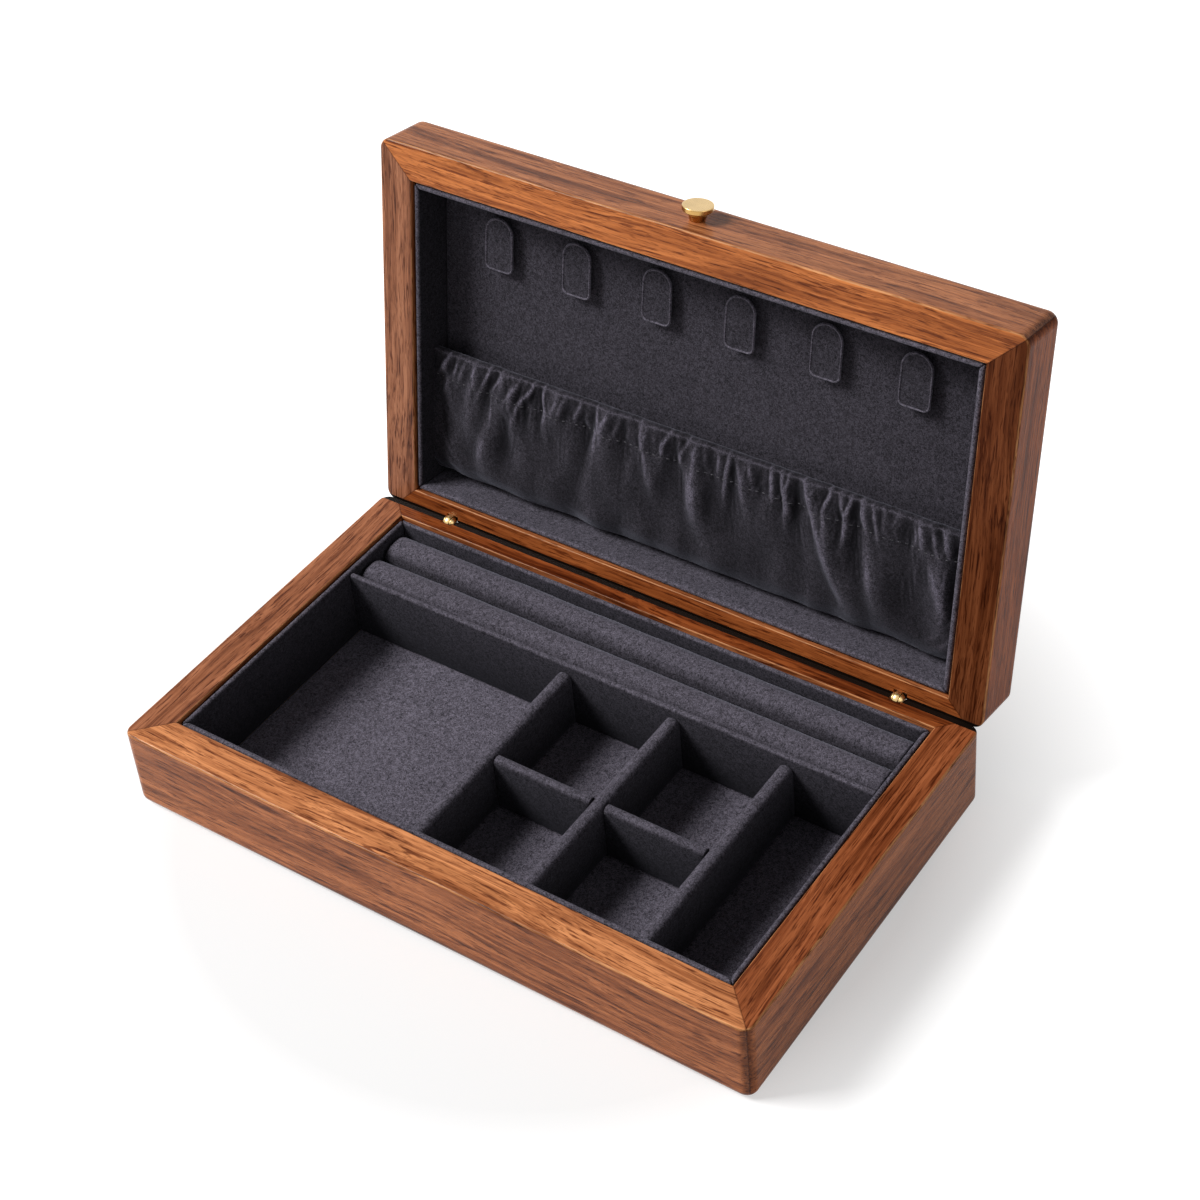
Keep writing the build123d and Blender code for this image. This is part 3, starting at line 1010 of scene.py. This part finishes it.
LONG_FOLDS = [
    Wrinkle(-84.0, -0.3, 30.0, 24.0, 3.2, 2.6), Wrinkle(-99.0, -0.1, 14.0, 24.0, 2.0, 3.4),
    Wrinkle(-60.0, -0.16, 12.0, 28.0, 2.4, 3.6), Wrinkle(-36.5, -0.19, 22.0, 26.0, 2.9, 2.8),
    Wrinkle(-14.0, 0.05, 12.0, 28.0, 2.3, 3.6), Wrinkle(5.0, 0.1, 18.0, 28.0, 2.7, 3.0),
    Wrinkle(27.0, 0.2, 12.0, 26.0, 2.2, 3.6), Wrinkle(55.0, 0.44, 34.0, 22.0, 3.3, 2.6),
    Wrinkle(80.0, 0.2, 26.0, 26.0, 3.0, 2.8), Wrinkle(103.0, 0.46, 20.0, 26.0, 3.0, 2.8),
]
# How the cloth behaves as it settles: suede holds its folds, and the elastic holds its mouth.
SETTLING = {
    "quality": 8, "mass": 0.12, "tension_stiffness": 24.0, "compression_stiffness": 24.0,
    "shear_stiffness": 10.0, "bending_stiffness": 0.12, "tension_damping": 12.0,
    "air_damping": 3.0, "vertex_group_mass": "sewn", "pin_stiffness": 1.0,
}


@dataclass
class GatheredPouch:
    """The lid's pocket: cloth cut wider at its mouth, drawn up by elastic in a turned hem."""

    place: Place
    half_width: float
    seam: list[tuple[float, float]]
    ruffles_from: float = 2.0
    folds_from: float = 6.0
    long_share: float = 0.22
    fan: float = 0.4
    ease: float = 1.03
    columns: int = 420
    rows: int = 46
    casing: float = 10.0
    hem_gap: float = 1.6
    hem_pitch: float = 2.2
    hem_back_rows: int = 4
    hem_calm: float = 0.8
    frames: int = 16
    skin: float = 0.8
    thread: float = 0.2
    proud: float = 1.6
    lift_limit: float = 4.4
    lift_bend: float = 3.6
    sag: float = 2.4
    sag_across: float = 0.07
    sag_down: float = 0.045
    sag_start: float = 20.0
    pinch: float = 0.45
    pinch_width: float = 1.3
    mouth_ease: float = 5.0
    side_ease: float = 7.0
    foot_ease: float = 0.25
    stitch_pin: float = 0.5
    loose_pin: float = 0.2
    stitch_dip: float = 0.35
    stitch_thin: float = 0.55

    @property
    def wide(self) -> int:
        """Points in one row of the cloth."""
        return self.columns + 1

    def profile(self, share: float) -> tuple[float, float]:
        """Point of the cloth's middle line.

        Args:
            share: 0 at the foot seam and 1 at the hem, by length.

        Returns:
            Its place along and out of the lid.
        """
        left = share * self.length()
        for a, b in zip(self.seam, self.seam[1:]):
            step = math.dist(a, b)
            if left <= step or b == self.seam[-1]:
                k = left / step
                return a[0] + (b[0] - a[0]) * k, a[1] + (b[1] - a[1]) * k
            left -= step
        return self.seam[-1]

    def length(self) -> float:
        """Length of the cloth from foot seam to hem."""
        return sum(math.dist(a, b) for a, b in zip(self.seam, self.seam[1:]))

    def turned(self) -> list[tuple[float, float]]:
        """Steps of the hem as it folds over behind the front layer.

        Returns:
            Offsets along and out of the lid from the front layer's last row.
        """
        gap = self.hem_gap
        over = [
            (gap * along, -gap * out)
            for along, out in ((0.3, 0.12), (0.42, 0.5), (0.3, 0.88), (0.0, 1.0))
        ]
        back = [(-self.hem_pitch * (k + 1), -gap) for k in range(self.hem_back_rows)]
        return over + back

    def wrinkles(self) -> list[Wrinkle]:
        """The close ruffles of the casing, and the long folds that run down from some of them.

        Returns:
            All of them, places in millimetres from the pouch's middle.
        """
        dice = random.Random(29).uniform
        found = []
        at = self.ruffles_from - self.half_width
        while at < self.half_width - self.ruffles_from:
            lean = self.fan * at / self.half_width + dice(-0.3, 0.3)
            long = dice(0.0, 1.0) < self.long_share
            found.append(Wrinkle(
                at, lean, dice(5.0, 10.0), dice(14.0, 24.0) if long else dice(5.0, 10.0),
                dice(1.9, 2.7) if long else dice(0.9, 2.4), dice(0.75, 1.4), dice(-0.9, 0.9),
            ))
            at += dice(2.7, 6.9)
        at = self.folds_from - self.half_width
        while at < self.half_width - self.folds_from:
            found.append(Wrinkle(
                at, dice(-0.25, 0.25), dice(8.0, 18.0), dice(14.0, 30.0), dice(0.9, 1.9),
                dice(1.9, 3.2), dice(-1.2, 1.2),
            ))
            at += dice(9.0, 17.0)
        return found + LONG_FOLDS

    def build(self, finish: bpy.types.Material, sewing: bpy.types.Material) -> None:
        """Gathers the cloth, lets it settle, stitches and thickens it.

        Args:
            finish: the cloth's material.
            sewing: the thread's material.
        """
        start = self.gathered()
        flat, area = self.unfolded(start)
        rows = range(0, len(start) - self.wide, self.wide)
        faces = [face for row in rows for face in band(row, row + self.wide, self.wide, False)]
        cloth = self.place.piece("pouch", start, faces, finish)
        self.settle(cloth, flat)
        thread = self.stitches(cloth, sewing)
        self.finish_cloth(cloth)
        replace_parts(cloth, "pouch_cloth")

    def gathered(self) -> list[Point]:
        """The drawn-up cloth before it settles.

        Returns:
            Its points, row by row from the foot seam and over the hem.
        """
        found = self.wrinkles()
        length = self.length()
        start: list[Point] = []
        for j in range(self.rows + 1):
            v = j / self.rows
            along, out = self.profile(v)
            below = (1.0 - v) * length
            near = [w for w in found if below < w.start + w.length]
            held = (0.5 + 0.5 * eased(below / self.mouth_ease)) * eased(v / self.foot_ease)
            pinch = self.pinch * math.exp(-(((below - self.casing) / self.pinch_width) ** 2))
            for i in range(self.wide):
                x = (2.0 * i / self.columns - 1.0) * self.half_width
                side = eased((self.half_width - abs(x)) / self.side_ease)
                lift = sum(w.height(x, below) for w in near)
                lift = self.lift_limit * (1.0 - math.exp(-lift / self.lift_bend))
                where = Vector((x * self.sag_across, below * self.sag_down, 4.2))
                sag = self.sag * noise.noise(where) * eased(below / self.sag_start)
                start.append((x, along, out + (lift * held - pinch + sag) * side))
        hem = start[-self.wide:]
        level = self.profile(1.0)[1]
        done = 0.0
        last = (0.0, 0.0)
        for step in self.turned():
            done += math.dist(last, step)
            last = step
            share = min(1.0, done / self.hem_gap)
            for x, along, out in hem:
                tamed = level + (out - level) * (1.0 - self.hem_calm * share)
                start.append((x, along + step[0], tamed + step[1]))
        return start

    def unfolded(self, start: list[Point]) -> tuple[list[Point], float]:
        """The same cloth laid flat, a little wider than it is drawn up.

        Args:
            start: the drawn-up points.

        Returns:
            The flat points, and the flat area in square millimetres.
        """
        flat: list[Point] = []
        y, area, last_width = 0.0, 0.0, 0.0
        for first in range(0, len(start), self.wide):
            row = start[first:first + self.wide]
            steps = [math.dist(a, b) * self.ease for a, b in zip(row, row[1:])]
            width = sum(steps)
            if first:
                under = start[first - self.wide:first]
                rise = sum(math.dist(a, b) for a, b in zip(row, under)) / self.wide
                y += rise
                area += rise * (width + last_width) / 2
            last_width = width
            x = -width / 2
            flat.append((x, y, 0.0))
            for step in steps:
                x += step
                flat.append((x, y, 0.0))
        return flat, area

    def settle(self, cloth: bpy.types.Object, flat: list[Point]) -> None:
        """Runs the cloth simulation and keeps its result.

        Args:
            cloth: the drawn-up sheet.
            flat: its points laid flat, which give its true size.
        """
        cloth.shape_key_add(name="drawn_up")
        cut = cloth.shape_key_add(name="cut")
        for point, where in zip(cut.data, flat):
            point.co = Vector(where) * MM
        pins = cloth.vertex_groups.new(name="sewn")
        stitched = self.rows - self.casing_rows()
        for number in range(len(flat)):
            row, column = divmod(number, self.wide)
            held = self.stitch_pin if row == stitched else self.loose_pin
            if row == 0 or row >= self.rows or column in (0, self.columns):
                held = 1.0
            pins.add([number], held, "REPLACE")
        modifier = cloth.modifiers.new("settling", "CLOTH")
        for key, value in SETTLING.items():
            setattr(modifier.settings, key, value)
        modifier.settings.rest_shape_key = cut
        modifier.collision_settings.use_collision = False
        modifier.collision_settings.use_self_collision = False
        modifier.point_cache.frame_start = 1
        modifier.point_cache.frame_end = self.frames
        for step in range(1, self.frames + 1):
            bpy.context.scene.frame_set(step)
        settled = cloth.evaluated_get(bpy.context.evaluated_depsgraph_get())
        places = [v.co.copy() for v in settled.data.vertices]
        cloth.modifiers.remove(modifier)
        cloth.shape_key_clear()
        for vertex, where in zip(cloth.data.vertices, places):
            vertex.co = where
        bpy.context.scene.frame_set(1)
        LOG.info("settled the pouch over %d steps", self.frames)

    def casing_rows(self) -> int:
        """Rows of the grid between the stitch line and the hem."""
        return round(self.casing / self.length() * self.rows)

    def stitches(self, cloth: bpy.types.Object, finish: bpy.types.Material) -> bpy.types.Object:
        """Sews the casing's lower edge with short proud stitches.

        Args:
            cloth: the settled sheet.
            finish: the thread's material.

        Returns:
            All the stitches as one piece.
        """
        row = (self.rows - self.casing_rows()) * self.wide
        inward = self.place.matrix.inverted().to_3x3()
        cloth.data.update()
        line = []
        for vertex in cloth.data.vertices[row:row + self.wide]:
            out = inward @ vertex.normal
            line.append(self.place.own(vertex.co) + out * (self.skin * 0.5 + self.thread * 0.4))
        points: list[Point] = []
        faces: list[list[int]] = []
        sides, span, pitch = 6, 3, 5
        for start in range(2, self.columns - span - 1, pitch):
            first = len(points)
            for k in range(span + 1):
                here = line[start + k]
                after, before = min(k + 1, span), max(k - 1, 0)
                ahead = (line[start + after] - line[start + before]).normalized()
                out = ahead.cross(Vector((0.0, 1.0, 0.0))).normalized()
                up = out.cross(ahead)
                dip, radius = 0.0, self.thread
                if k in (0, span):
                    dip, radius = self.stitch_dip, self.thread * self.stitch_thin
                for a in range(sides):
                    turn = 2.0 * math.pi * a / sides
                    ring = up * (math.cos(turn) * radius) + out * (math.sin(turn) * radius)
                    points.append(tuple(here + ring - out * dip))
            end = first + span * sides
            for ring in range(first, end, sides):
                faces += band(ring, ring + sides, sides)
            faces += [list(reversed(range(first, first + sides))), list(range(end, end + sides))]
        return self.place.piece("pouch_stitching", points, faces, finish)

    def finish_cloth(self, cloth: bpy.types.Object) -> None:
        """Keeps the cloth in its room, smooths it and gives it thickness.

        Args:
            cloth: the settled sheet.
        """
        floor = self.place.box("lid_backing_pad")[1].z + self.skin
        roof = self.place.box("pouch_cloth")[1].z + self.proud
        lifts = []
        for vertex in cloth.data.vertices:
            p = self.place.own(vertex.co)
            p.z = min(max(p.z, floor), roof)
            lifts.append(p.z)
            vertex.co = self.place.matrix @ (p * MM)
        self.brush(cloth, lifts)
        smooth = cloth.modifiers.new("smoothing", "SUBSURF")
        smooth.levels = 1
        smooth.render_levels = 1
        thick = cloth.modifiers.new("skin", "SOLIDIFY")
        thick.thickness = self.skin * MM
        thick.offset = 0.0

    def brush(self, cloth: bpy.types.Object, lifts: list[float]) -> None:
        """Marks painted light and shade: lighter on the ridges, on slopes facing left and on the
        mouth's fold, darker in the hollows.

        Args:
            cloth: the settled sheet.
            lifts: how far each of its points stands out.
        """
        # lit lightens slopes that face left and the last number lightens the mouth's fold: painted
        # light.
        level, sharp, broad, lit, fold = 0.48, 1.2, 0.12, 0.16, 0.84
        marks = []
        for index, lift in enumerate(lifts):
            row, column = divmod(index, self.wide)
            far_left, left, right, far_right = (
                lifts[row * self.wide + min(self.columns, max(0, column + step))]
                for step in (-9, -2, 2, 9)
            )
            mark = level + sharp * (lift - (left + right) / 2)
            mark += broad * (lift - (far_left + far_right) / 2) + lit * (right - left)
            marks.append(fold if row == self.rows else min(1.0, max(0.0, mark)))
        nap = cloth.data.attributes.new("crest_light", "FLOAT", "POINT")
        nap.data.foreach_set("value", marks)


@dataclass
class LidHalf:
    """The upper half: walnut frame and panel, suede lining, tabs, pouch and knob."""

    place: Place
    tabs: int = 6
    spacer_width: float = 8.0
    pouch_edge: float = 0.8
    elastic: Point = (0.5, 5.0, 0.5)
    elastic_below_hem: float = 1.2
    hem_thick: float = 1.6
    # Width of the painted black shadow along the hinged rim edge.
    gap_shade_band: float = 1.9
    tones: dict[str, bpy.types.Material] = field(default_factory=dict)

    def build(self) -> None:
        """Makes all of the lid's soft pieces."""
        rim = tuple(self.place.matrix.to_3x3() @ Vector((0.0, 0.0, 1.0)))
        # The boards are lighter on their rims and darker on their faces: painted light and shade.
        board = Suede("suede_lid_board", level=2.15, flank=0.8, turn=20.0, rim=rim)
        finishes = {
            "board": board,
            # A darker copy for the left board, which faces away from the key lamp: painted shade.
            "board_left": replace(
                board, name="suede_lid_board_left", level=1.6, flank=0.22, sheen=0.05
            ),
            "backing": Suede("suede_lid_backing", level=0.93, turn=55.0, rim=rim),
            "tab": Suede("suede_tab_face", level=0.82, turn=30.0, rim=rim),
            # A lighter copy of the suede for the tabs' rolled edges: a painted highlight.
            "welt": Suede("suede_tab_edge_highlight", level=2.35, turn=30.0, rim=rim, sheen=0.4),
            "pouch": Suede(
                "suede_pouch", level=0.63, turn=80.0, rim=rim, sheen=0.2, crest_lit=True
            ),
        }
        self.tones = {key: suede.material() for key, suede in finishes.items()}
        cover(
            self.place, "lid_backing_pad", "lid_backing", self.tones["backing"], 0.9,
            edge=1.2, pitch=3.0, uneven=0.14, crown=0.3,
        )
        line_walls(self.place, "lid", "lid_lining", ("left", "back"), 2.9, self.tones)
        self.chain_tabs()
        self.spacers()
        self.pouch()

    def chain_tabs(self) -> None:
        """The row of arch-topped tabs."""
        for number in range(1, self.tabs + 1):
            node = f"chain_tab_{number}"
            low, high = self.place.box(node)
            tab = ChainTab(f"{node}_cover", low, high)
            made = tab.build(self.place, self.tones["tab"], self.tones["welt"])
            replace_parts(made, node)

    def spacers(self) -> None:
        """The small covered block that holds each tab off the backing."""
        low, high = self.place.box("chain_tab_spacers")
        for number in range(1, self.tabs + 1):
            tab_low, tab_high = self.place.box(f"chain_tab_{number}")
            middle = (tab_low.x + tab_high.x) / 2
            block = CoveredBlock(
                f"chain_tab_{number}_spacer",
                Vector((middle - self.spacer_width / 2, low.y, low.z)),
                Vector((middle + self.spacer_width / 2, high.y, high.z)),
                edge=(0.6, 0.6, 0.25), pitch=1.5, seed=number * 1.9,
            )
            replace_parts(block.build(self.place, self.tones["backing"]), "chain_tab_spacers")

    def pouch(self) -> None:
        """The gathered pouch and its elastic."""
        low, high = self.place.box("pouch_cloth")
        back = self.place.box("lid_backing_pad")[1].z
        tall = high.y - low.y
        deep = high.z - back
        edge = self.pouch_edge
        hem = high.y - edge
        line = [(low.y + edge, back + edge)] + [
            (low.y + tall * up, back + deep * out)
            for up, out in ((0.05, 0.42), (0.14, 0.7), (0.32, 0.78), (0.55, 0.75), (0.8, 0.68))
        ] + [(hem, back + deep * 0.62)]
        sheet = GatheredPouch(self.place, high.x, line, hem_gap=self.hem_thick)
        sheet.build(self.tones["pouch"], THREAD.material())
        side, wide, thick = self.elastic
        middle = line[-1][1] - self.hem_thick / 2
        top = hem - self.elastic_below_hem
        strip = CoveredBlock(
            "hem_elastic",
            Vector((low.x + side, top - wide, middle - thick / 2)),
            Vector((high.x - side, top, middle + thick / 2)),
            edge=0.2, pitch=2.4, uneven=0.1,
        )
        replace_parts(strip.build(self.place, TAPE.material()), "pouch_elastic")

    def dress(self) -> None:
        """Gives the lid's wood and brass their finishes."""
        mitres = mitres_of(self.place, "lid", Hinged.LOW_Y, self.gap_shade_band)
        lean = math.degrees(math.asin(self.place.matrix[1][1]))
        level = (lean, 0.0, 0.0)
        upright = (lean, 90.0, 0.0)
        wood = Walnut("walnut_lid", level, mitres=mitres)
        # Each rail's rim and side colours follow how the light falls on it: painted light and shade
        # over the wood's tone.
        rails = {
            "front": replace(wood, shift=2.17, rim=(0.72, 0.236, 0.066), side=(0.6, 0.225, 0.09)),
            "back": replace(wood, shift=2.63, rim=(0.45, 0.13, 0.034)),
            "left": replace(wood, turn=upright, shift=3.41, rim=(0.445, 0.183, 0.094)),
            "right": replace(
                wood, turn=upright, shift=3.97, rim=(0.21, 0.064, 0.023),
                side=(0.42, 0.115, 0.034), gloss=0.03,
            ),
        }
        dress_rails("lid", rails)
        dress(["lid_top_panel"], Walnut("walnut_lid_panel", level, 3.05).material())
        dress(["lid_mitre_splines"], Walnut("walnut_lid_spline", level, 4.4).material())
        up = tuple(self.place.matrix.to_3x3() @ Vector((0.0, 1.0, 0.0)))
        dress(["lid_knob", "lid_knob_stud"], Brass("brass_knob", rough=0.24, axis=up).material())
        leaf = Brass("brass_upper_leaf", HINGE_BRASS, rough=0.3).material()
        for side in ("left", "right"):
            dress([f"hinge_upper_leaf_{side}"], leaf)


# ---------------------------------------------------------------- studio
@dataclass
class Studio:
    """Pale floor, soft lamps and the camera."""

    azimuth: float = 37.6234
    elevation: float = 38.419
    distance: float = 1000.0
    target: Point = (-37.5013, 98.7348, 84.8085)
    roll: float = -5.4538
    focal: float = 76.06
    shift: float = -0.12
    aim: Point = (0.0, 0.02, 0.03)
    half_floor: float = 30.0
    floor_seen: Colour = (0.54, 0.54, 0.54)
    painted_glow: tuple[float, float, float, float] = (0.145, 0.23, 0.445, 0.98)
    sky_light: float = 0.115

    def build(self) -> None:
        """Sets up the floor, the light and the camera."""
        self.floor()
        self.world()
        self.lamps()
        self.camera()
        bpy.context.scene.view_settings.view_transform = "Standard"

    def floor(self) -> None:
        """A wide pale floor that keeps the box's shadow near the box; for camera and mirror rays it
        glows, more strongly away from the box, painted light that fades the far shadow.
        """
        mesh = bpy.data.meshes.new("floor")
        corners = [(-1, -1), (1, -1), (1, 1), (-1, 1)]
        mesh.from_pydata(
            [(x * self.half_floor, y * self.half_floor, 0.0) for x, y in corners],
            [], [[0, 1, 2, 3]],
        )
        t = NodeTable(bpy.data.materials.new("floor_white"))
        seen = t.seen_directly()
        grain = t.noise(t.place, 3.0, 2.0)
        true = t.ramp(grain, [(0.0, (0.79, 0.79, 0.79)), (1.0, (0.81, 0.81, 0.81))])
        away = t.add("ShaderNodeVectorMath", {0: t.place}, operation="LENGTH").outputs["Value"]
        t.shade(
            Base_Color=t.mixed("MIX", seen, true, self.floor_seen), Roughness=0.9,
            Specular_IOR_Level=0.0, Emission_Color=(1.0, 1.0, 1.0),
            Emission_Strength=t.maths("MULTIPLY", seen, t.levels(away, *self.painted_glow)),
        )
        mesh.materials.append(t.owner)
        made = bpy.data.objects.new("floor", mesh)
        bpy.context.scene.collection.objects.link(made)

    def world(self) -> None:
        """White seen directly, softer as light."""
        world = bpy.data.worlds.new("studio")
        bpy.context.scene.world = world
        t = NodeTable(world, "Background")
        light = t.levels(t.seen_directly(), 0.0, 1.0, self.sky_light, 1.0)
        t.shade(Color=(1.0, 1.0, 1.0), Strength=light)

    def lamps(self) -> None:
        """A broad key from the upper left and a weak low light from the right."""
        self.lamp("key", (-2.1, -1.2, 2.42), 1.3, 130.0)
        self.lamp("low_right", (1.25, -0.15, 0.5), 0.8, 2.5)

    def lamp(self, name: str, at: Point, size: float, power: float) -> None:
        """One square soft lamp.

        Args:
            name: the lamp's name.
            at: where it hangs, in metres.
            size: its side.
            power: its power in watts.
        """
        data = bpy.data.lights.new(name, "AREA")
        data.shape = "SQUARE"
        data.size = size
        data.energy = power
        made = bpy.data.objects.new(name, data)
        made.location = at
        made.rotation_mode = "QUATERNION"
        made.rotation_quaternion = (Vector(self.aim) - Vector(at)).to_track_quat("-Z", "Y")
        bpy.context.scene.collection.objects.link(made)

    def camera(self) -> None:
        """The camera, from its bearing, height, roll and focal length."""
        a, e, r = (math.radians(v) for v in (self.azimuth, self.elevation, self.roll))
        back = Vector((math.sin(a) * math.cos(e), -math.cos(a) * math.cos(e), math.sin(e)))
        at = (Vector(self.target) + back * self.distance) * MM
        level = (-back).cross(Vector((0.0, 0.0, 1.0))).normalized()
        above = level.cross(-back)
        right = level * math.cos(r) + above * math.sin(r)
        up = above * math.cos(r) - level * math.sin(r)
        data = bpy.data.cameras.new("camera")
        data.sensor_width = 36.0
        data.lens = self.focal
        data.shift_y = self.shift
        data.clip_start = 0.05
        data.clip_end = 100.0
        made = bpy.data.objects.new("camera", data)
        turn = Matrix((right, up, back)).transposed().to_4x4()
        made.matrix_world = Matrix.Translation(at) @ turn
        bpy.context.scene.collection.objects.link(made)
        bpy.context.scene.camera = made


def leaf_place() -> Place:
    """The open lid's own frame: X across, Y from the hinges to the knob, Z out of its rim.

    Returns:
        The place.
    """
    hinge = frame["joints"][0]
    swing = math.radians(hinge["range_deg"][1])
    away = Vector((0.0, -math.cos(swing), math.sin(swing)))
    out = Vector((0.0, -math.sin(swing), -math.cos(swing)))
    turn = Matrix((Vector((1.0, 0.0, 0.0)), away, out)).transposed().to_4x4()
    return Place("lid", Matrix.Translation(Vector(hinge["pos_m"])) @ turn)


def main() -> None:
    """Builds and dresses the whole box, then sets up the studio."""
    logging.basicConfig(level=logging.INFO, format="%(message)s")
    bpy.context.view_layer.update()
    base = TrayBase(Place("base", Matrix.Identity(4)))
    base.build()
    base.dress()
    lid = LidHalf(leaf_place())
    lid.build()
    lid.dress()
    Studio().build()


if __name__ == "__main__":
    main()
